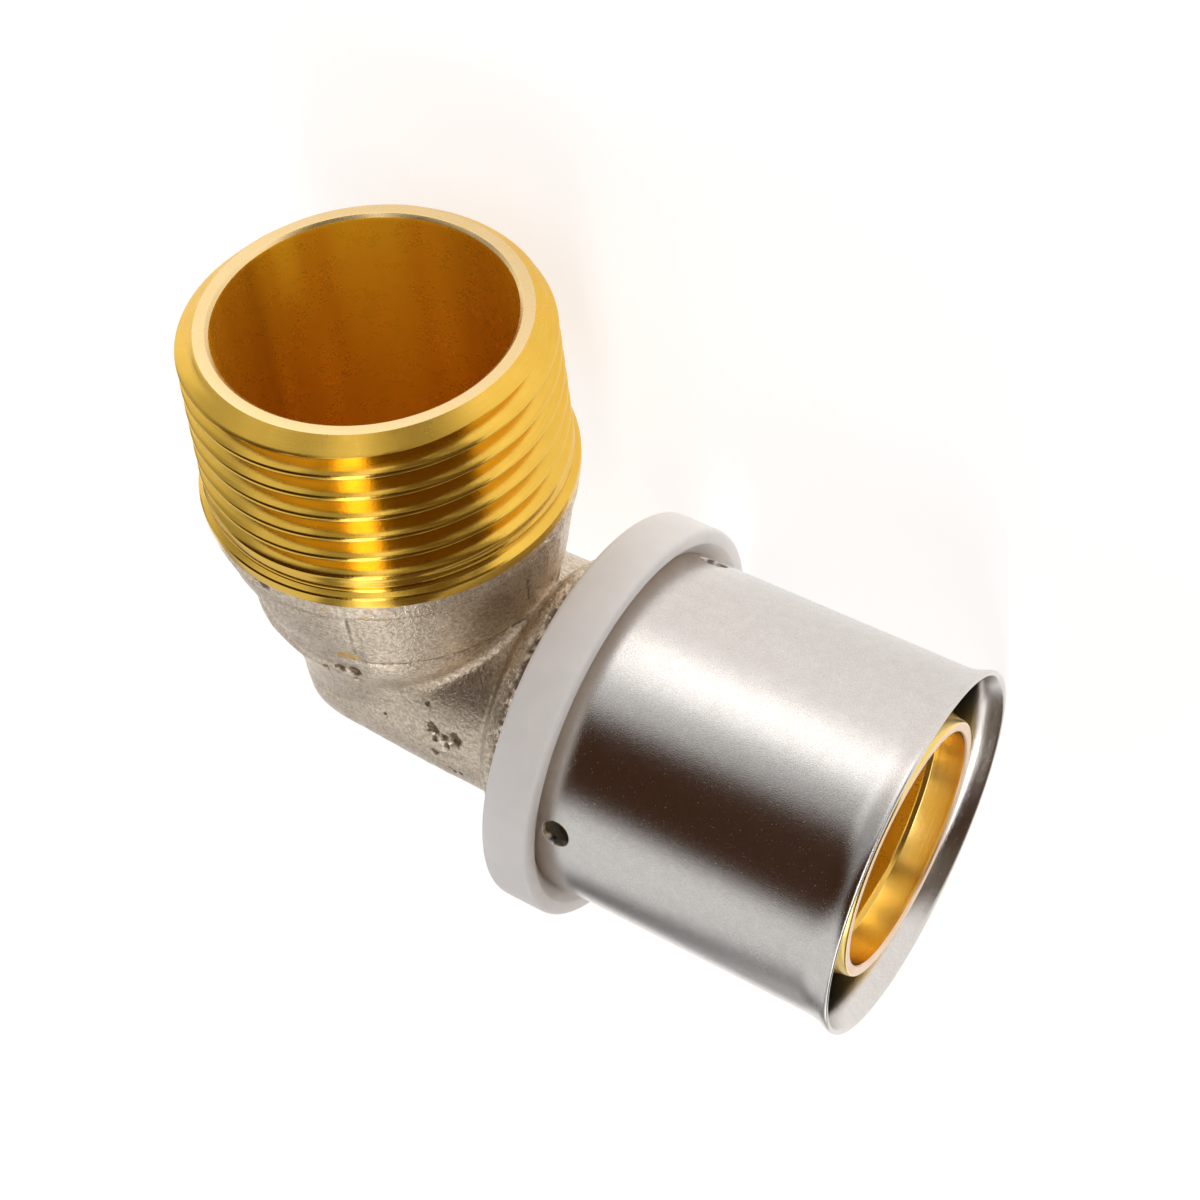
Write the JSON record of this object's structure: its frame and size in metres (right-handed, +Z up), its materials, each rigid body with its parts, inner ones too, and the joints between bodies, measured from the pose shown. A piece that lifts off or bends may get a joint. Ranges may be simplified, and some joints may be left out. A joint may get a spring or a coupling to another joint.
{
  "type": "press elbow",
  "caption": "Right-angle pipe elbow with a male taper-threaded end and a press end for multilayer pipe, with a flared steel sleeve and a plastic stop ring.",
  "frame": {"origin": "where the axes of the two legs cross, inside the bend", "axes": "+X out of the press end along its axis, +Y out of the threaded end along its axis, +Z up with the fitting lying on its side"},
  "size_m": [0.0558, 0.0463, 0.0306],
  "materials": {
    "body": "forged brass, nickel-plated and blasted outside, bare turned brass on the thread, the bores and the spigot's end",
    "sleeve": "stainless steel sheet, satin with a fine grain",
    "ring": "milky white translucent moulded plastic, smooth",
    "seal": "black rubber, matt"
  },
  "bodies": {
    "root": {"elbow_body": "body", "press_sleeve": "sleeve", "stop_ring": "ring", "o_ring_rear": "seal", "o_ring_front": "seal"}
  },
  "joints": []
}
